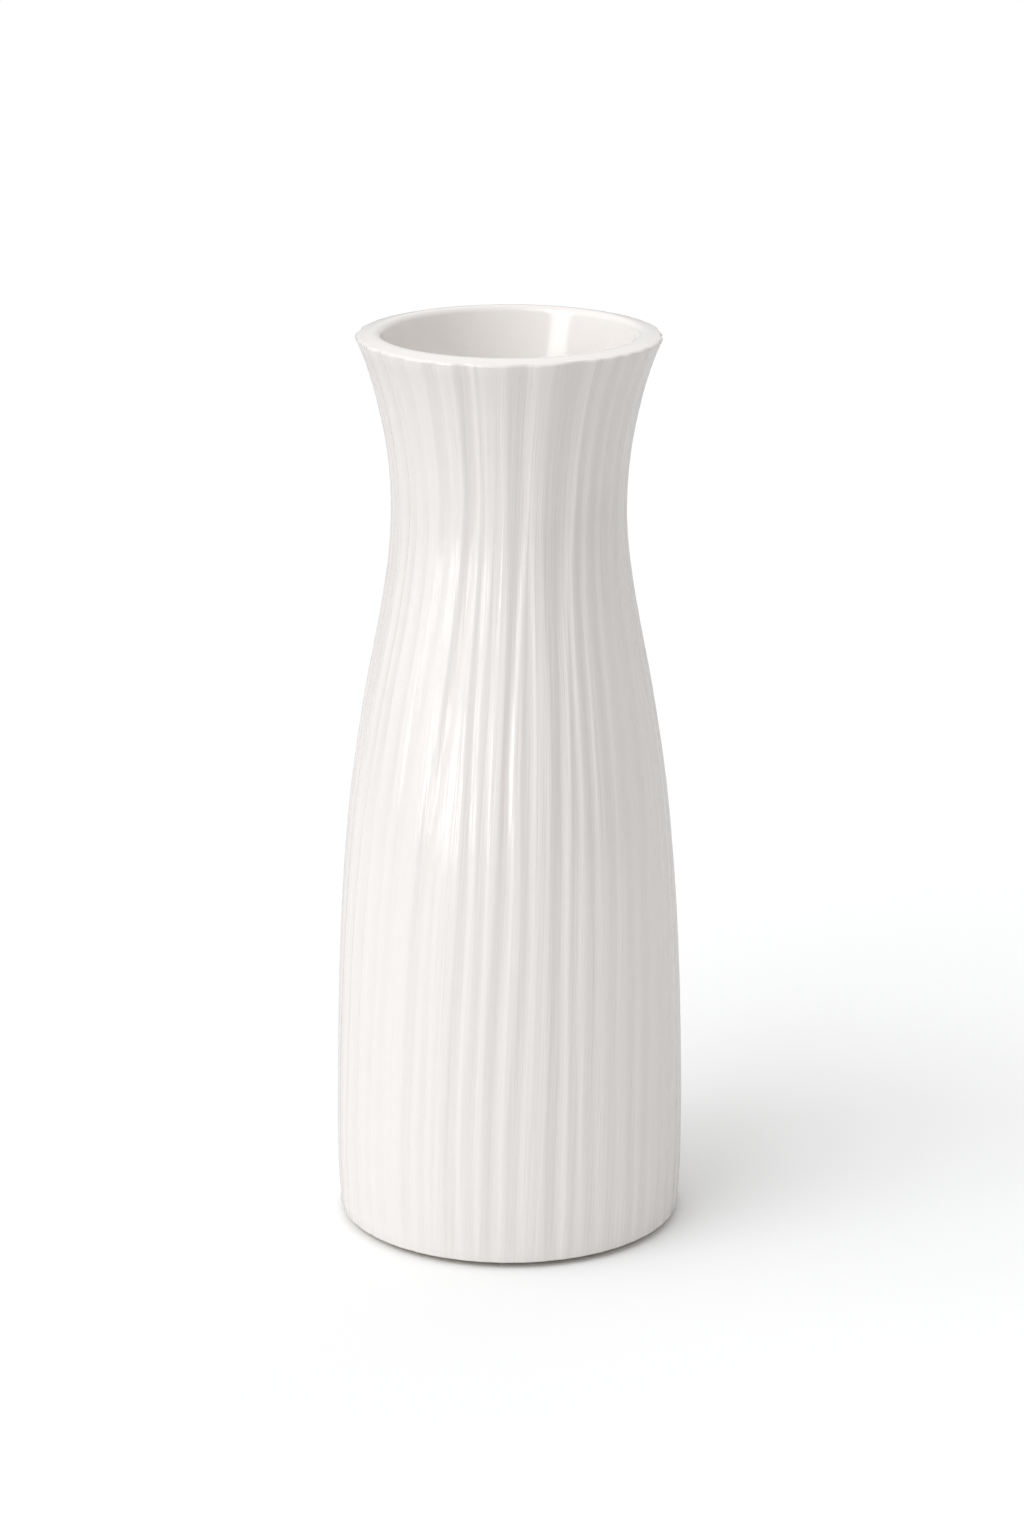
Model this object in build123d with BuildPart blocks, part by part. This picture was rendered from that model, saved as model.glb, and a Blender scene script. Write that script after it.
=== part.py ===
"""Bud vase in slip-cast stoneware: a clay body, its white gloss glaze and four felt pads.

Frame: origin on the table under the vase's axis, +Z up, -Y is the front, millimetres.
The outer wall runs over the tips of the shallow carved ribs, which are surface detail.
"""

from build123d import *

import os

os.makedirs("parts", exist_ok=True)

# driving dimensions, mm
vase_height = 178.0
glaze_thickness = 0.35

# outer wall over the glaze: (radius, height), from the foot's edge to where the lip curls over
outer_wall = [
    (33.75, 1.6), (34.3, 12), (34.2, 30), (33.65, 50), (32.6, 70), (30.7, 90), (27.9, 108),
    (24.65, 125), (23.1, 136), (22.7, 146), (23.5, 156), (25.5, 166), (27.6, 173), (29.2, 176.8),
]
# inner wall over the glaze: (radius, height), from the floor's corner to the mouth
inner_wall = [
    (29.2, 14), (30.0, 30), (29.5, 50), (28.4, 70), (26.4, 90), (23.6, 108), (20.4, 125),
    (18.9, 136), (18.4, 146), (19.1, 156), (21.0, 166), (24.2, 176.6),
]
floor_level = 6.5          # inside floor, over the glaze
floor_corner_radius = 7.5  # where the floor turns up into the wall
lip_flare = (0.45, 1.0)    # direction of the outer wall where it reaches the lip
lip_curl = 0.6             # the outer wall comes in by this much as it curls over into the lip
mouth_round = 1.4          # the inner wall goes out by this much as it turns into the lip

pad_thickness = 0.8        # felt pads, which hold the bare foot off the table
pad_radius = 3.5
pad_count = 4
foot_round = 0.8           # sponged edge of the bare foot
glaze_line = 1.2           # the glaze is wiped off below this
recess_radius = 24.0       # hollow under the floor, inside the foot ring
recess_depth = 1.5


def turned_outside(skin):
    """Solid turned to the outer wall and lip, skin deep under the glaze's surface."""
    wall = [(radius - skin, height) for radius, height in outer_wall]
    foot_edge = (wall[0][0] - foot_round, pad_thickness)
    crown = (wall[-1][0] - lip_curl, vase_height - skin)
    with BuildPart() as outside:
        with BuildSketch(Plane.XZ):
            with BuildLine():
                Line((0, pad_thickness), foot_edge)
                TangentArc(foot_edge, wall[0], tangent=(1, 0))
                Spline(wall, tangents=[(0, 1), lip_flare])
                TangentArc(wall[-1], crown, tangent=lip_flare)
                Polyline(crown, (0, vase_height - skin), (0, pad_thickness))
            make_face()
        revolve()
    return outside.part


def turned_hollow(growth):
    """Solid of the hollow inside, grown by the thickness of the glaze that lines it."""
    wall = [(radius + growth, height) for radius, height in inner_wall]
    floor = floor_level - growth
    floor_edge = (inner_wall[0][0] - floor_corner_radius, floor)
    crown = (wall[-1][0] + mouth_round - growth, vase_height - growth)
    above = vase_height + mouth_round
    with BuildPart() as inside:
        with BuildSketch(Plane.XZ):
            with BuildLine():
                Line((0, floor), floor_edge)
                TangentArc(floor_edge, wall[0], tangent=(1, 0))
                wall_line = Spline(wall)
                TangentArc(wall[-1], crown, tangent=wall_line % 1)
                Polyline(crown, (crown[0], above), (0, above), (0, floor))
            make_face()
        revolve()
    return inside.part


# clay body: one casting, hollow inside, with a bare ring to stand on
with BuildPart() as clay_body:
    add(turned_outside(glaze_thickness))
    add(turned_hollow(glaze_thickness), mode=Mode.SUBTRACT)
    with BuildSketch(Plane.XY.offset(pad_thickness)):
        Circle(recess_radius)
    extrude(amount=recess_depth, mode=Mode.SUBTRACT)
clay_body.part.label = "clay_body"
export_step(clay_body.part, "parts/clay_body.step")

# glaze: one coat from the wiped line at the foot, over the lip, down to the inside floor
with BuildPart() as glaze_coat:
    add(turned_outside(0))
    add(turned_hollow(0), mode=Mode.SUBTRACT)
    add(clay_body.part, mode=Mode.SUBTRACT)
    with BuildSketch():
        Circle(2 * recess_radius)
    extrude(amount=glaze_line, mode=Mode.SUBTRACT)
    with BuildSketch():
        Circle(recess_radius)
    extrude(amount=pad_thickness + recess_depth, mode=Mode.SUBTRACT)
glaze_coat.part.label = "glaze_coat"
export_step(glaze_coat.part, "parts/glaze_coat.step")

# underside glaze: a disc in the recess, inside the bare ring
with BuildPart() as underside_glaze:
    with BuildSketch(Plane.XY.offset(pad_thickness + recess_depth)):
        Circle(recess_radius)
    extrude(amount=-glaze_thickness)
underside_glaze.part.label = "underside_glaze"
export_step(underside_glaze.part, "parts/underside_glaze.step")

# felt pads, stuck to the bare ring
ring_edge = outer_wall[0][0] - glaze_thickness - foot_round
ring_middle = (recess_radius + ring_edge) / 2
pad_places = PolarLocations(ring_middle, pad_count, start_angle=180 / pad_count)
for number, place in enumerate(pad_places.locations, start=1):
    with BuildPart() as foot_pad:
        with BuildSketch(Plane(place)):
            Circle(pad_radius)
        extrude(amount=pad_thickness)
    foot_pad.part.label = f"foot_pad_{number}"
    export_step(foot_pad.part, f"parts/foot_pad_{number}.step")
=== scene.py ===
import math
import random
from bisect import bisect_right

import bpy
import numpy as np
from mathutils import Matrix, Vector


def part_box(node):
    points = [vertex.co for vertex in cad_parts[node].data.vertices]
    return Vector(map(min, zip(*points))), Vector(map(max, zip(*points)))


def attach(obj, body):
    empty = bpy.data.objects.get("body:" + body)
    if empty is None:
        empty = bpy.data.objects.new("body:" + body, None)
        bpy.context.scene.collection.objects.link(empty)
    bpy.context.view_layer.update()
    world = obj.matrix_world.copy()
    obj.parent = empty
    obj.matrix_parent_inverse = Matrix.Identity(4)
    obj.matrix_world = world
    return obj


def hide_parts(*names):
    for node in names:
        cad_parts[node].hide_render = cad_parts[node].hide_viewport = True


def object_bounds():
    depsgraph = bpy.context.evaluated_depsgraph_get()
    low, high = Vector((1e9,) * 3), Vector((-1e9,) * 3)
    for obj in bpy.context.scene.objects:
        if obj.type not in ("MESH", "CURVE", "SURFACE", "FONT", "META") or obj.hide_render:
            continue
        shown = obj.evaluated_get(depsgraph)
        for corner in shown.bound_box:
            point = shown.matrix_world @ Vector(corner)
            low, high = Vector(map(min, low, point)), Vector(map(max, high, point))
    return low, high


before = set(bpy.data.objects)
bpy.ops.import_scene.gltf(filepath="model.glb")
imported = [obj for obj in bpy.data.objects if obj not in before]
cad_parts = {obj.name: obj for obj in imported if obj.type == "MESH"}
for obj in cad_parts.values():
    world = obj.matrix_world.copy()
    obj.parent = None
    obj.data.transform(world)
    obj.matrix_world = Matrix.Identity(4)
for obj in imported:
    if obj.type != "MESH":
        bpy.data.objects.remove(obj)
cadLow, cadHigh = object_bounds()
print("frame loaded")

mm = 0.001

# the clay and its glaze share these sizes in mm: they are the CAD part's own, apart from the lip's
# curl and fall, which are softer here
vase = {
    "height": cadHigh.z / mm,
    "glazeThickness": 0.35,
    "outerWall": [  # radius over the rib tips, height
        (33.75, 1.6), (34.3, 12), (34.2, 30), (33.65, 50), (32.6, 70), (30.7, 90), (27.9, 108),
        (24.65, 125), (23.1, 136), (22.7, 146), (23.5, 156), (25.5, 166), (27.6, 173), (29.2, 176.8),
    ],
    "innerWall": [  # radius, height
        (29.2, 14), (30.0, 30), (29.5, 50), (28.4, 70), (26.4, 90), (23.6, 108), (20.4, 125),
        (18.9, 136), (18.4, 146), (19.1, 156), (21.0, 166), (24.2, 176.6),
    ],
    "wallMiddle": 30.0,  # a middling radius
    "floorLevel": 6.5,
    "floorCorner": 7.5,
    "lipCurl": 0.9,
    "lipCurlEnd": 18.0,       # degrees above level at which the curl runs into the wall
    "lipCurlStretch": 1.05,   # brings that end out over the wall
    "lipFall": 0.5,           # the crown comes down by this much towards its outer edge
    "lipFallHalfway": 0.3,    # and by this share of it half way across
    "mouthRound": 1.4,
    "footHeight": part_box("clay_body")[0].z / mm,
    "footRound": 0.8,
    "glazeLine": 1.2,
    "recessRadius": 24.0,
    "recessDepth": 1.5,
    "hiddenFrom": 18.0,       # where the faces between clay and glaze begin to follow the outer wall
    "hiddenShort": 4.0,       # they stop this far below the outer wall's end
    "liningShort": 3.0,       # and this far below the inner wall's end
}


def along(places, values, at):
    # smooth curve through values at places, held level past both ends
    if at <= places[0]:
        return values[0]
    if at >= places[-1]:
        return values[-1]
    last = len(places) - 1
    slopes = [
        (values[min(i + 1, last)] - values[max(i - 1, 0)])
        / (places[min(i + 1, last)] - places[max(i - 1, 0)])
        for i in range(last + 1)
    ]
    i = bisect_right(places, at) - 1
    span = places[i + 1] - places[i]
    t = (at - places[i]) / span
    return (
        (2 * t**3 - 3 * t**2 + 1) * values[i]
        + (t**3 - 2 * t**2 + t) * span * slopes[i]
        + (3 * t**2 - 2 * t**3) * values[i + 1]
        + (t**3 - t**2) * span * slopes[i + 1]
    )


def wallRadius(wall, height):
    return along([h for r, h in wall], [r for r, h in wall], height)


def heightsBetween(low, high, step):
    count = max(1, round((high - low) / step))
    return [low + (high - low) * i / count for i in range(count + 1)]


def quarterTurn(middle, sizes, fromDegrees, toDegrees, steps):
    # points on an ellipse's arc, sizes being its half width and half height
    span = toDegrees - fromDegrees
    turns = [math.radians(fromDegrees + span * i / steps) for i in range(steps + 1)]
    return [(middle[0] + sizes[0] * math.cos(a), middle[1] + sizes[1] * math.sin(a)) for a in turns]


def linearColour(hexCode):
    parts = [int(hexCode[i:i + 2], 16) / 255 for i in (0, 2, 4)]
    return (*[p / 12.92 if p <= 0.04045 else ((p + 0.055) / 1.055) ** 2.4 for p in parts], 1)


def spunPiece(name, outline, columns):
    # an outline of (radius, height) in mm is drawn by extruding one vertex, then spun about the axis
    bpy.ops.object.select_all(action="DESELECT")
    bpy.ops.mesh.primitive_plane_add(size=mm, location=(0, 0, 0))
    piece = bpy.context.object
    piece.name = piece.data.name = name
    bpy.ops.object.mode_set(mode="EDIT")
    bpy.ops.mesh.select_all(action="SELECT")
    bpy.ops.mesh.merge(type="CENTER")
    here = Vector((0, 0, 0))
    for number, (radius, height) in enumerate(outline):
        there = Vector((radius, 0, height)) * mm
        if number == 0:
            bpy.ops.transform.translate(value=there)
        else:
            bpy.ops.mesh.extrude_region_move(TRANSFORM_OT_translate={"value": there - here})
        here = there
    bpy.ops.object.mode_set(mode="OBJECT")
    lathe = piece.modifiers.new("lathe", "SCREW")
    lathe.angle = 2 * math.pi
    lathe.steps = lathe.render_steps = columns
    bpy.ops.object.modifier_apply(modifier="lathe")
    bpy.ops.object.mode_set(mode="EDIT")
    bpy.ops.mesh.select_all(action="SELECT")
    bpy.ops.mesh.remove_doubles(threshold=0.002 * mm)
    bpy.ops.mesh.normals_make_consistent(inside=False)
    bpy.ops.object.mode_set(mode="OBJECT")
    return piece


def smoothAllOver(piece):
    for face in piece.data.polygons:
        face.use_smooth = True


def addNode(tree, kind, settings=None, links=None):
    # settings are the node's own properties or its inputs' values, links are input: output socket
    node = tree.nodes.new(kind)
    for key, value in (settings or {}).items():
        if isinstance(key, str) and hasattr(node, key):
            setattr(node, key, value)
        else:
            node.inputs[key].default_value = value
    for key, socket in (links or {}).items():
        tree.links.new(socket, node.inputs[key])
    return node


def newMaterial(name):
    material = bpy.data.materials.new(name)
    material.use_nodes = True
    shader = material.node_tree.nodes["Principled BSDF"]
    return material, material.node_tree, shader


# a valley has its bearing, its half width, both in degrees, and its depth in mm at each of five
# heights; bearing 0 is the front, -Y, and positive is towards +X
flutes = {
    "heights": (10, 30, 70, 110, 150),
    "front": [
        ((-47.3, -47.0, -44.0, -38.0, -29.7), (3.0, 3.0, 3.2, 3.6, 4.2), (0.18, 0.20, 0.24, 0.32, 0.42)),
        ((-35.0, -34.3, -31.5, -24.0, -16.6), (3.0, 3.0, 3.4, 4.2, 4.2), (0.24, 0.27, 0.36, 0.52, 0.56)),
        ((-29.0, -28.8, -27.0, -20.5, -14.0), (2.4, 2.4, 2.2, 2.0, 2.0), (0.14, 0.16, 0.10, 0.00, 0.00)),
        ((-18.8, -18.4, -15.1, -13.7, -11.5), (3.0, 3.0, 2.6, 2.2, 2.4), (0.24, 0.28, 0.30, 0.32, 0.12)),
        ((-12.0, -11.6, -9.2, -7.6, -4.5), (2.4, 2.4, 2.3, 2.4, 2.6), (0.14, 0.18, 0.20, 0.20, 0.06)),
        ((-5.5, -4.8, -1.6, 0.8, 6.0), (3.2, 3.2, 3.3, 2.4, 5.5), (0.28, 0.32, 0.40, 0.40, 0.50)),
        ((2.3, 3.3, 6.4, 8.4, 9.6), (3.0, 3.2, 2.4, 3.0, 2.4), (0.22, 0.26, 0.28, 0.34, 0.10)),
        ((15.5, 15.9, 18.0, 21.3, 27.0), (3.3, 3.3, 3.5, 4.6, 9.0), (0.38, 0.40, 0.42, 0.46, 0.62)),
        ((22.0, 22.3, 23.8, 26.7, 30.0), (2.4, 2.4, 2.5, 2.6, 2.8), (0.18, 0.20, 0.22, 0.26, 0.12)),
        ((28.5, 28.9, 30.6, 33.2, 37.0), (2.6, 2.6, 2.6, 3.0, 3.6), (0.18, 0.20, 0.22, 0.26, 0.30)),
        ((36.5, 36.9, 39.0, 42.0, 46.0), (2.8, 2.8, 3.0, 3.4, 3.8), (0.18, 0.20, 0.22, 0.30, 0.36)),
    ],
    "seed": 7,
    "pitch": (6.4, 11.0),
    "lean": (9.0, 15.0),
    "leanShares": (0.0, 0.06, 0.28, 0.60, 1.0),
    "halfWidth": (2.2, 3.6),
    "widening": 0.6,         # degrees more at the lip
    "footDepth": (0.12, 0.32),
    "lipDepth": (0.15, 0.50),
    "shallow": 0.25,         # this share of the valleys dies away on the way up
    "shallowDepth": 0.03,    # to this
    "softness": 1.3,         # how gently a cut runs out at its sides
    "merging": 4,            # how sharply two cuts meet
    "skew": 0.22,            # a cut is this much steeper on its right side than on its left
    "wander": 0.25,          # degrees that a valley strays from its line, as a hand-held tool does
    "wanderLengths": (9, 10, 11, 12, 13),  # mm per radian of that stray, one valley after another
    "wanderShift": 2.4,      # radians by which the next valley's stray is shifted
    "fineCount": 190,        # hair lines that the tool's edge leaves between the valleys
    "fineHalfWidth": (0.7, 1.5),
    "fineDepth": (0.015, 0.06),
    "fineShares": (0.2, 1.0, 1.0),  # of that depth at each height, so that a line fades here and there
    "footFade": 4.5,         # mm over which the cuts start above the foot
    "footLeft": 0.3,         # share of their depth that is left at its very edge
    "sameRow": 0.01,         # mm within which a vertex belongs to a row
}


def otherValleys(chance):
    # the sides and back have valleys of the same kind, each a little different
    start, end = flutes["front"][-1][0][0], flutes["front"][0][0][0] + 360
    gaps = [chance.uniform(*flutes["pitch"])]
    while sum(gaps) < end - start:
        gaps.append(chance.uniform(*flutes["pitch"]))
    stretch = (end - start) / sum(gaps)
    valleys, foot = [], start
    for gap in gaps[:-1]:
        foot += gap * stretch
        lean = chance.uniform(*flutes["lean"])
        wide = chance.uniform(*flutes["halfWidth"])
        high = chance.uniform(*flutes["halfWidth"]) + flutes["widening"]
        low, top = chance.uniform(*flutes["footDepth"]), chance.uniform(*flutes["lipDepth"])
        if chance.random() < flutes["shallow"]:
            top = flutes["shallowDepth"]
        valleys.append((
            [foot + lean * share for share in flutes["leanShares"]],
            [wide + (high - wide) * share for share in flutes["leanShares"]],
            [low + (top - low) * share for share in flutes["leanShares"]],
        ))
    return valleys


def hairLines(chance):
    # each starts somewhere on the wall and runs along the flutes' lean for part of the height
    lines = []
    for _ in range(flutes["fineCount"]):
        foot, lean = chance.uniform(0, 360), chance.uniform(*flutes["lean"])
        width, depth = chance.uniform(*flutes["fineHalfWidth"]), chance.uniform(*flutes["fineDepth"])
        shown = [chance.choice(flutes["fineShares"]) * depth for _ in flutes["heights"]]
        lines.append(([foot + lean * share for share in flutes["leanShares"]],
                      [width] * len(flutes["heights"]), shown))
    return lines


def cutDepths(bearings, height, cuts):
    # depth in mm at each bearing of one height: every cut is a shallow facet with a soft ridge
    # beside it, and where two meet the deeper one wins
    depths = np.zeros(len(bearings))
    for number, (middles, widths, deeps) in enumerate(cuts):
        length = flutes["wanderLengths"][number % len(flutes["wanderLengths"])]
        stray = flutes["wander"] * math.sin(height / length + number * flutes["wanderShift"])
        middle = along(flutes["heights"], middles, height) + stray
        halfWidth = along(flutes["heights"], widths, height)
        deep = along(flutes["heights"], deeps, height)
        off = ((bearings - middle + 180) % 360 - 180) / halfWidth
        off = np.abs(off) / (1 + flutes["skew"] * np.sign(-off))
        depths += (deep * np.maximum(0, 1 - off**2)**flutes["softness"])**flutes["merging"]
    return depths**(1 / flutes["merging"])


def eased(share):
    share = min(1, max(0, share))
    return share * share * (3 - 2 * share)


def carveFlutes(piece, rows):
    # every cut goes straight in towards the axis, and ends round the curl of the lip; rows are the
    # (radius, height) of the outline's points that may be cut
    chance = random.Random(flutes["seed"])
    valleys = flutes["front"] + otherValleys(chance)
    fine = hairLines(chance)
    places = np.empty(len(piece.data.vertices) * 3)
    piece.data.vertices.foreach_get("co", places)
    places = places.reshape(-1, 3)
    x, y, z = places.T / mm
    radii, bearings = np.hypot(x, y), np.degrees(np.arctan2(x, -y))
    depths = np.zeros(len(x))
    bend, crownEdge = vase["outerWall"][-1][1], vase["height"] - vase["lipFall"]
    near = flutes["sameRow"]
    for radius, height in rows:
        row = np.nonzero((abs(radii - radius) < near) & (abs(z - height) < near))[0]
        rising = eased((height - vase["glazeLine"]) / flutes["footFade"])
        ending = math.sqrt(1 - min(1, max(0, (height - bend) / (crownEdge - bend)))**2)
        shown = (flutes["footLeft"] + (1 - flutes["footLeft"]) * rising) * ending
        around = bearings[row]
        depths[row] = shown * (cutDepths(around, height, valleys) + cutDepths(around, height, fine))
    places[:, :2] *= 1 - (depths / np.maximum(radii, 1))[:, None]
    piece.data.vertices.foreach_set("co", places.ravel())
    piece.data.update()
    hollow = piece.data.attributes.new("hollow", "FLOAT", "POINT")  # the glaze pools where this is high
    hollow.data.foreach_set("value", depths)


# the glaze coat is one closed skin from the foot, over the lip and across the inside floor
glazeCoat = {
    "columns": 600,
    "outsideStep": 2.2,
    "insideStep": 11.0,
    "hiddenStep": 10.0,
    "turnSteps": 6,
    "hiddenTurnSteps": 3,
    "hiddenBacking": 1.5,  # the hidden side runs this far in, clear of the deepest valley
    # in from the wall's foot, up from the glaze line: the coat's soft lower edge and its hidden side
    "footEdge": [(0.06, 0.22), (0.20, 0.07), (0.42, 0.0)],
    "footHidden": [(0.7, 0.04), (0.9, 0.3)],
    "crownHidden": [(0.9, -0.5), (0.0, 0.0), (-1.1, -0.6)],  # out and up from under the crown
}


def lipOutline():
    # from the end of the inside wall, over the crown, to the end of the outside wall
    mouth = vase["innerWall"][-1]
    bend = vase["outerWall"][-1]
    top, crown, curl = vase["height"], mouth[0] + vase["mouthRound"], bend[0] - vase["lipCurl"]
    mouthSizes = (vase["mouthRound"], top - mouth[1])
    inside = quarterTurn((crown, mouth[1]), mouthSizes, 180, 90, glazeCoat["turnSteps"])
    outside = [(crown + (curl - crown) / 2, top - vase["lipFall"] * vase["lipFallHalfway"])]
    curlSizes = (vase["lipCurl"] * vase["lipCurlStretch"], top - vase["lipFall"] - bend[1])
    outside += quarterTurn((curl, bend[1]), curlSizes, 90, vase["lipCurlEnd"], glazeCoat["turnSteps"])
    return inside, outside


def wallOutline(wall, low, high, step, outBy=0):
    # points up a wall, moved out from the axis by outBy
    return [(wallRadius(wall, h) + outBy, h) for h in heightsBetween(low, high, step)]


def makeGlazeCoat():
    thick = vase["glazeThickness"]
    low, high = vase["outerWall"][0][1], vase["outerWall"][-1][1]
    innerLow, innerHigh = vase["innerWall"][0][1], vase["innerWall"][-1][1]
    corner = (vase["innerWall"][0][0] - vase["floorCorner"], innerLow)
    cornerSizes = (vase["floorCorner"], vase["floorCorner"])
    floorParts = 4
    inside = [(corner[0] * i / floorParts, vase["floorLevel"]) for i in range(floorParts)]
    inside += quarterTurn(corner, cornerSizes, -90, 0, glazeCoat["turnSteps"])[:-1]
    inside += wallOutline(vase["innerWall"], innerLow, innerHigh, glazeCoat["insideStep"])
    lipInside, lipOutside = lipOutline()
    outside = wallOutline(vase["outerWall"], low, high, glazeCoat["outsideStep"])[::-1]
    foot, line = outside[-1][0], vase["glazeLine"]
    edge = [(foot - inBy, line + up) for inBy, up in glazeCoat["footEdge"]]
    hidden = [(foot - inBy, line + up) for inBy, up in glazeCoat["footHidden"]]
    hidden += wallOutline(vase["outerWall"], vase["hiddenFrom"], high - vase["hiddenShort"],
                          glazeCoat["hiddenStep"], -glazeCoat["hiddenBacking"])
    crown = (vase["innerWall"][-1][0] + vase["mouthRound"], vase["height"] - thick)
    hidden += [(crown[0] + out, crown[1] + up) for out, up in glazeCoat["crownHidden"]]
    hidden += wallOutline(vase["innerWall"], innerLow, innerHigh - vase["liningShort"],
                          glazeCoat["hiddenStep"], thick)[::-1]
    hiddenSizes = (vase["floorCorner"] + thick, vase["floorCorner"] + thick)
    hidden += quarterTurn(corner, hiddenSizes, 0, -90, glazeCoat["hiddenTurnSteps"])[1:]
    hidden.append((0, vase["floorLevel"] - thick))
    outline = inside + lipInside[1:] + lipOutside + outside + edge + hidden
    piece = spunPiece("glazeCoat", outline, glazeCoat["columns"])
    carveFlutes(piece, lipOutside[1:] + outside + edge)
    smoothAllOver(piece)
    return piece


coat = makeGlazeCoat()
print("glaze coat made:", len(coat.data.polygons), "faces")


# the clay body is bare stoneware, seen only at the foot ring
clayBody = {
    "columns": 180,
    "step": 12.0,
    "backing": 1.55,
    "footBacking": 1.0,
    "clear": 0.05,  # gap under the glaze, so that the two skins don't share a face
    "footSteps": 5,
    "cornerSteps": 4,
    "recessPoint": 12.0,    # a radius half way out in the recess
    "recessChamfer": 0.5,
    "ringChamfer": 0.3,
    "ringFlat": 4.0,
    "crown": [(0.8, -0.6), (0.0, 0.0), (-1.0, -0.7)],  # out and up from the middle of the crown
}


def makeClayBody():
    foot, recessRadius = vase["footHeight"], vase["recessRadius"]
    recessTop = foot + vase["recessDepth"]
    ringEdge = vase["outerWall"][0][0] - clayBody["footBacking"]
    recess = [(0, recessTop), (clayBody["recessPoint"], recessTop)]
    recess.append((recessRadius - clayBody["recessChamfer"], recessTop))
    recess.append((recessRadius, recessTop - clayBody["recessChamfer"]))
    recess.append((recessRadius, foot + clayBody["ringChamfer"]))
    ring = [(recessRadius + clayBody["ringChamfer"], foot), (ringEdge - clayBody["ringFlat"], foot)]
    ring += quarterTurn((ringEdge - vase["footRound"], foot + vase["footRound"]),
                        (vase["footRound"], vase["footRound"]), -90, 0, clayBody["footSteps"])
    high = vase["outerWall"][-1][1] - vase["hiddenShort"]
    wall = wallOutline(vase["outerWall"], vase["hiddenFrom"], high, clayBody["step"], -clayBody["backing"])
    lining = vase["glazeThickness"] + clayBody["clear"]
    crown = (vase["innerWall"][-1][0] + vase["mouthRound"], vase["height"] - lining)
    lip = [(crown[0] + out, crown[1] + up) for out, up in clayBody["crown"]]
    innerLow, innerHigh = vase["innerWall"][0][1], vase["innerWall"][-1][1] - vase["liningShort"]
    inside = wallOutline(vase["innerWall"], innerLow, innerHigh, clayBody["step"], lining)[::-1]
    corner = (vase["innerWall"][0][0] - vase["floorCorner"], innerLow)
    cornerSizes = (vase["floorCorner"] + lining, vase["floorCorner"] + lining)
    floor = quarterTurn(corner, cornerSizes, 0, -90, clayBody["cornerSteps"])[1:]
    floor.append((0, vase["floorLevel"] - lining))
    piece = spunPiece("clayBody", recess + ring + wall + lip + inside + floor, clayBody["columns"])
    smoothAllOver(piece)
    return piece


body = makeClayBody()
print("clay body made")


# the underside glaze is a thin pool with a soft edge, inside the foot ring
undersideGlaze = {
    "columns": 96,
    "edge": 0.5,
    "edgeSteps": 5,
    "clear": 0.05,
    "flat": 2.0,
    "drawnUp": [(0, 0.04), (8, 0.03), (16, 0.0)],  # radius, how far the pool has drawn up there
}


def makeUndersideGlaze():
    low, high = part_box("underside_glaze")
    radius = high.x / mm - undersideGlaze["clear"]
    bottom, top = low.z / mm, high.z / mm - undersideGlaze["clear"]
    edge = undersideGlaze["edge"]
    pool = [(place, bottom + up) for place, up in undersideGlaze["drawnUp"]]
    pool.append((radius - undersideGlaze["flat"], bottom))
    pool += quarterTurn((radius - edge, top), (edge, top - bottom), -90, 0, undersideGlaze["edgeSteps"])
    pool.append((0, top))
    piece = spunPiece("undersideGlaze", pool, undersideGlaze["columns"])
    smoothAllOver(piece)
    return piece


underGlaze = makeUndersideGlaze()
print("underside glaze made")


feltPad = {
    "count": 4,
    "sides": 48,
    "insets": (0.8, 1.4),   # rings of faces on the top and bottom
    "edgeRound": 0.18,
    "edgeSegments": 3,
    "smoothAngle": 40,
    "unevenness": 0.05,     # a stamped edge is never quite round
    "seed": 3,
}


def makePads():
    pads = []
    chance = random.Random(feltPad["seed"])
    for number in range(1, feltPad["count"] + 1):
        low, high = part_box(f"foot_pad_{number}")
        middle = (low + high) / 2
        bpy.ops.object.select_all(action="DESELECT")
        bpy.ops.mesh.primitive_cylinder_add(
            vertices=feltPad["sides"], radius=(high.x - low.x) / 2, depth=high.z - low.z, location=middle)
        pad = bpy.context.object
        pad.name = pad.data.name = f"feltPad{number}"
        bpy.ops.object.transform_apply(location=True, rotation=True, scale=True)
        bpy.ops.object.mode_set(mode="EDIT")
        bpy.ops.mesh.select_all(action="DESELECT")
        bpy.ops.object.mode_set(mode="OBJECT")
        for face in pad.data.polygons:
            face.select = round(abs(face.normal.z)) == 1  # the top and the bottom
        bpy.ops.object.mode_set(mode="EDIT")
        for width in feltPad["insets"]:
            bpy.ops.mesh.inset(thickness=width * mm, depth=0)
        bpy.ops.object.mode_set(mode="OBJECT")
        soften = pad.modifiers.new("edge", "BEVEL")
        soften.width = feltPad["edgeRound"] * mm
        soften.segments = feltPad["edgeSegments"]
        bpy.ops.object.modifier_apply(modifier="edge")
        for vertex in pad.data.vertices:
            out = Vector((vertex.co.x - middle.x, vertex.co.y - middle.y, 0))
            vertex.co += out.normalized() * chance.uniform(-1, 0) * feltPad["unevenness"] * mm
        bpy.ops.object.shade_smooth_by_angle(angle=math.radians(feltPad["smoothAngle"]))
        pads.append(pad)
    return pads


pads = makePads()
print("felt pads made")


glazeLook = {
    "white": "F2EEEB",
    "pooled": "E8E2DE",
    "roughness": 0.12,
    "ior": 1.52,
    "striationSpacing": 0.7,   # mm between the tool's fine lines
    "striationHeight": 0.14,
    "striationLength": 40.0,
    "rippleSize": 4.0,
    "rippleHeight": 0.02,
    "twist": 12.0,             # degrees that the lines lean from foot to lip
}


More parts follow.
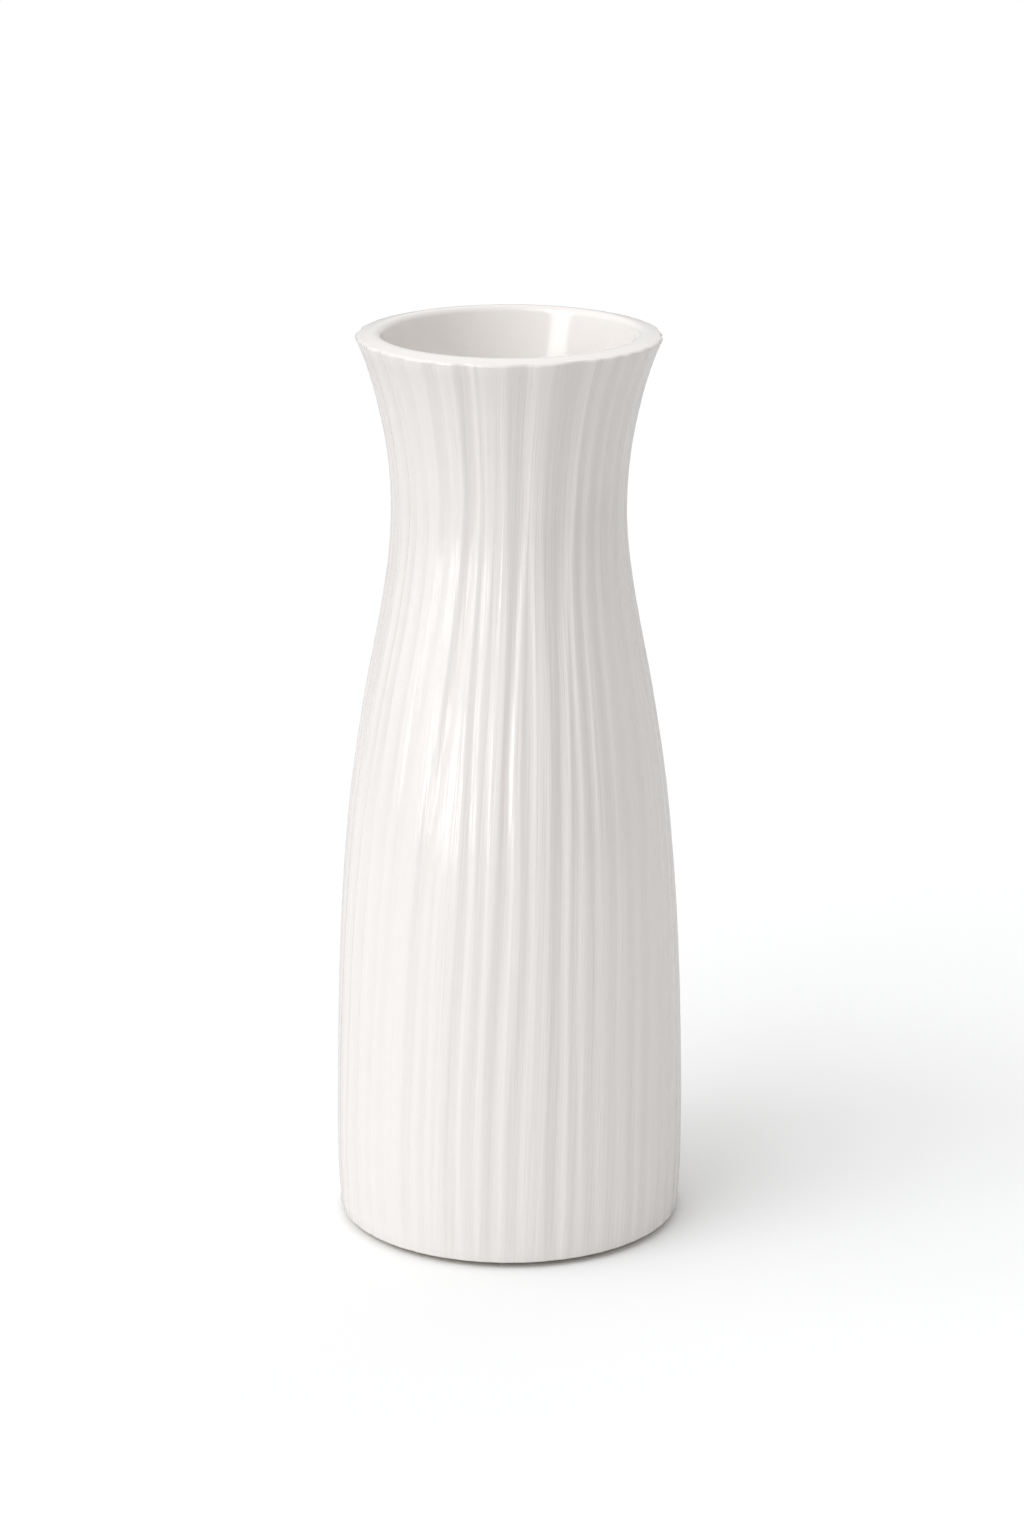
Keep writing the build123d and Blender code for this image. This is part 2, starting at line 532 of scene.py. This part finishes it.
def glossWhiteGlaze():
    # tin-white gloss glaze, dipped and fired: a glassy coat over off-white, a shade deeper where it pools
    material, tree, shader = newMaterial("glossWhiteGlaze")
    place = addNode(tree, "ShaderNodeTexCoord").outputs["Object"]
    axes = addNode(tree, "ShaderNodeSeparateXYZ", links={0: place})
    lean = addNode(tree, "ShaderNodeMath",
                   {"operation": "MULTIPLY", 1: -math.radians(glazeLook["twist"]) / (vase["height"] * mm)},
                   {0: axes.outputs["Z"]})
    flat = addNode(tree, "ShaderNodeCombineXYZ", links={"X": axes.outputs["X"], "Y": axes.outputs["Y"]})
    outwards = addNode(tree, "ShaderNodeVectorMath", {"operation": "NORMALIZE"}, {0: flat.outputs[0]})
    turned = addNode(tree, "ShaderNodeVectorRotate", {"rotation_type": "Z_AXIS"},
                     {"Vector": outwards.outputs[0], "Angle": lean.outputs[0]})
    spacing, length = glazeLook["striationSpacing"], glazeLook["striationLength"]
    squeeze = spacing / (length * vase["wallMiddle"] * mm)  # draws the pattern out along the height
    drawnOut = addNode(tree, "ShaderNodeMath", {"operation": "MULTIPLY", 1: squeeze}, {0: axes.outputs["Z"]})
    rise = addNode(tree, "ShaderNodeCombineXYZ", links={"Z": drawnOut.outputs[0]})
    drawn = addNode(tree, "ShaderNodeVectorMath", {"operation": "ADD"},
                    {0: turned.outputs[0], 1: rise.outputs[0]})
    lines = addNode(tree, "ShaderNodeTexNoise",
                    {"Scale": vase["wallMiddle"] / spacing, "Detail": 3.0, "Roughness": 0.6},
                    {"Vector": drawn.outputs[0]})
    ripple = addNode(tree, "ShaderNodeTexNoise",
                     {"Scale": 1 / (glazeLook["rippleSize"] * mm), "Detail": 1.0}, {"Vector": place})
    facing = addNode(tree, "ShaderNodeTexCoord").outputs["Normal"]
    facingOut = addNode(tree, "ShaderNodeVectorMath", {"operation": "DOT_PRODUCT"},
                        {0: facing, 1: outwards.outputs[0]})
    scraped = addNode(tree, "ShaderNodeMapRange", {"From Min": 0.5, "From Max": 0.9},
                      {"Value": facingOut.outputs["Value"]})  # the lip and the inside never were
    cut = addNode(tree, "ShaderNodeBump", {"Distance": glazeLook["striationHeight"] * mm},
                  {"Height": lines.outputs["Fac"], "Strength": scraped.outputs[0]})
    flow = addNode(tree, "ShaderNodeBump", {"Strength": 1.0, "Distance": glazeLook["rippleHeight"] * mm},
                   {"Height": ripple.outputs["Fac"], "Normal": cut.outputs[0]})
    hollow = addNode(tree, "ShaderNodeAttribute", {"attribute_name": "hollow"})
    colour = addNode(tree, "ShaderNodeMix", {"data_type": "RGBA", 6: linearColour(glazeLook["white"]),
                                             7: linearColour(glazeLook["pooled"])},
                     {0: hollow.outputs["Fac"]})
    tree.links.new(colour.outputs[2], shader.inputs["Base Color"])
    tree.links.new(flow.outputs[0], shader.inputs["Normal"])
    shader.inputs["Roughness"].default_value = glazeLook["roughness"]
    shader.inputs["IOR"].default_value = glazeLook["ior"]
    return material


stonewareLook = {
    "dark": "CFC3B0",
    "light": "E2D9CA",
    "grainSize": 0.5,    # mm, as on sponged clay
    "grainDetail": 3.0,
    "grainTwist": 0.0,
    "grainHeight": 0.05,
    "grainStrength": 0.6,
    "roughness": 0.85,
}
feltLook = {
    "dark": "6E6B66",
    "light": "A19D96",
    "grainSize": 0.25,   # mm, a few wool fibres
    "grainDetail": 4.0,
    "grainTwist": 2.0,
    "grainHeight": 0.12,
    "grainStrength": 1.0,
    "roughness": 1.0,
    "sheen": 0.3,
}


def grainyMaterial(name, look):
    # one grain both tints the surface and roughens it
    material, tree, shader = newMaterial(name)
    place = addNode(tree, "ShaderNodeTexCoord").outputs["Object"]
    grain = addNode(tree, "ShaderNodeTexNoise",
                    {"Scale": 1 / (look["grainSize"] * mm), "Detail": look["grainDetail"],
                     "Distortion": look["grainTwist"]},
                    {"Vector": place})
    tone = addNode(tree, "ShaderNodeMix", {"data_type": "RGBA", 6: linearColour(look["dark"]),
                                           7: linearColour(look["light"])}, {0: grain.outputs["Fac"]})
    bump = addNode(tree, "ShaderNodeBump",
                   {"Strength": look["grainStrength"], "Distance": look["grainHeight"] * mm},
                   {"Height": grain.outputs["Fac"]})
    tree.links.new(tone.outputs[2], shader.inputs["Base Color"])
    tree.links.new(bump.outputs[0], shader.inputs["Normal"])
    shader.inputs["Roughness"].default_value = look["roughness"]
    return material, shader


def bareStoneware():
    # biscuit-coloured stoneware, sponged and fired: matt, with a fine grain
    return grainyMaterial("bareStoneware", stonewareLook)[0]


def pressedFelt():
    # grey pressed wool felt: soft, matted fibres with no weave
    material, shader = grainyMaterial("pressedFelt", feltLook)
    shader.inputs["Sheen Weight"].default_value = feltLook["sheen"]
    return material


whiteGlaze = glossWhiteGlaze()
stoneware = bareStoneware()
felt = pressedFelt()
coat.data.materials.append(whiteGlaze)
underGlaze.data.materials.append(whiteGlaze)
body.data.materials.append(stoneware)
for pad in pads:
    pad.data.materials.append(felt)
print("materials made")

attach(coat, "root")
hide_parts("glaze_coat")
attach(body, "root")
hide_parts("clay_body")
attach(underGlaze, "root")
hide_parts("underside_glaze")
for number, pad in enumerate(pads, start=1):
    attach(pad, "root")
    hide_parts(f"foot_pad_{number}")


studio = {
    "floorSize": (0.90, 1.6),  # a table-top of white card, m
    "floorBack": 0.35,         # and how far back its middle lies
    "floorColour": "FFFFFF",   # the card as it is seen, and as it throws light back
    "floorBounce": "E1E1E1",
    "floorRoughness": 0.9,
    "keyStrength": 0.73,
    "keyBearing": -47.0,       # degrees, from the left and the front
    "keyRise": 48.0,
    "keySpread": 40.0,
    "keyColour": "FAFDFF",
    "panels": [                # bearing, rise, brightness and focus of the white panels round the table
        (-120, 10, 0.12, 3),
        (-60, 10, 0.40, 3),
        (0, 10, 0.66, 3),
        (120, 10, 0.80, 3),
        (180, 10, 0.27, 3),
        (180, 55, 0.82, 3),
        (-80, 33, 1.45, 6),
        (-25, 33, 0.36, 6),
        (35, 33, 0.36, 6),
    ],
    "softboxes": [             # name, bearing, rise, width, height, brightness; seen only in the gloss
        ("softbox", -50.0, 30.0, 0.52, 0.62, 3.6),
        ("strip", -46.0, 3.0, 0.40, 0.30, 4.2),
    ],
    "softboxDistance": 1.2,    # m
}


def toward(bearing, rise):
    # bearing 0 is the front, -Y, and positive is towards +X
    turn, lift = math.radians(bearing), math.radians(rise)
    return Vector((math.sin(turn) * math.cos(lift), -math.cos(turn) * math.cos(lift), math.sin(lift)))


bpy.ops.object.select_all(action="DESELECT")
bpy.ops.mesh.primitive_plane_add(size=1, location=(0, studio["floorBack"], 0))
bpy.context.object.scale = (*studio["floorSize"], 1)
floor = bpy.context.object
floor.name = "floor"
floorPaper, floorTree, floorShader = newMaterial("whiteFloor")
watched = addNode(floorTree, "ShaderNodeLightPath").outputs["Is Camera Ray"]
paper = addNode(floorTree, "ShaderNodeMix", {"data_type": "RGBA", 6: linearColour(studio["floorBounce"]),
                                             7: linearColour(studio["floorColour"])}, {0: watched})
floorTree.links.new(paper.outputs[2], floorShader.inputs["Base Color"])
floorShader.inputs["Roughness"].default_value = studio["floorRoughness"]
floorShader.inputs["Specular IOR Level"].default_value = 0.0
floor.data.materials.append(floorPaper)

world = bpy.data.worlds.new("studio")  # what the panels give, and plain white where the camera looks past
bpy.context.scene.world = world
world.use_nodes = True
sky = world.node_tree
way = addNode(sky, "ShaderNodeTexCoord").outputs["Generated"]
light = addNode(sky, "ShaderNodeValue").outputs[0]
light.default_value = 0
for bearing, rise, brightness, focus in studio["panels"]:
    facing = addNode(sky, "ShaderNodeVectorMath",
                     {"operation": "DOT_PRODUCT", 1: toward(bearing, rise)}, {0: way})
    ahead = addNode(sky, "ShaderNodeMath", {"operation": "MAXIMUM", 1: 0.0}, {0: facing.outputs["Value"]})
    glow = addNode(sky, "ShaderNodeMath", {"operation": "POWER", 1: focus}, {0: ahead.outputs[0]})
    light = addNode(sky, "ShaderNodeMath", {"operation": "MULTIPLY_ADD", 1: brightness},
                    {0: glow.outputs[0], 2: light}).outputs[0]
seen = addNode(sky, "ShaderNodeLightPath").outputs["Is Camera Ray"]
shown = addNode(sky, "ShaderNodeMix", {"B": 1.0}, {0: seen, 2: light})
sky.links.new(shown.outputs[0], sky.nodes["Background"].inputs["Strength"])
sky.nodes["Background"].inputs["Color"].default_value = (1, 1, 1, 1)

bpy.ops.object.light_add(type="SUN", location=(0, 0, 1))
key = bpy.context.object
key.name = "key"
key.rotation_euler = toward(studio["keyBearing"], studio["keyRise"]).to_track_quat("Z", "Y").to_euler()
key.data.energy = studio["keyStrength"]
key.data.angle = math.radians(studio["keySpread"])
key.data.color = linearColour(studio["keyColour"])[:3]

for name, bearing, rise, width, height, brightness in studio["softboxes"]:
    place = toward(bearing, rise) * studio["softboxDistance"]
    bpy.ops.object.light_add(type="AREA", location=place)
    softbox = bpy.context.object
    softbox.name = name
    softbox.rotation_euler = place.to_track_quat("Z", "Y").to_euler()
    softbox.data.shape = "ELLIPSE"
    softbox.data.size, softbox.data.size_y = width, height
    softbox.data.energy = brightness * math.pi * width * height
    softbox.visible_diffuse = False

camera = {
    "lens": 104.06,
    "sensorWidth": 36,
    "nearest": 0.01,  # m
    "pitch": 16.95,
    "distance": 866.65 * mm,
    "aim": (0.55 * mm, 0, 91.37 * mm),
}
pitch = math.radians(camera["pitch"])
away = Vector((0, -math.cos(pitch), math.sin(pitch)))
bpy.ops.object.camera_add(location=Vector(camera["aim"]) + away * camera["distance"])
eye = bpy.context.object
eye.rotation_euler = (math.pi / 2 - pitch, 0, 0)
eye.data.lens = camera["lens"]
eye.data.sensor_width = camera["sensorWidth"]
eye.data.clip_start = camera["nearest"]
bpy.context.scene.camera = eye
bpy.context.scene.view_settings.view_transform = "Standard"
print("studio made")
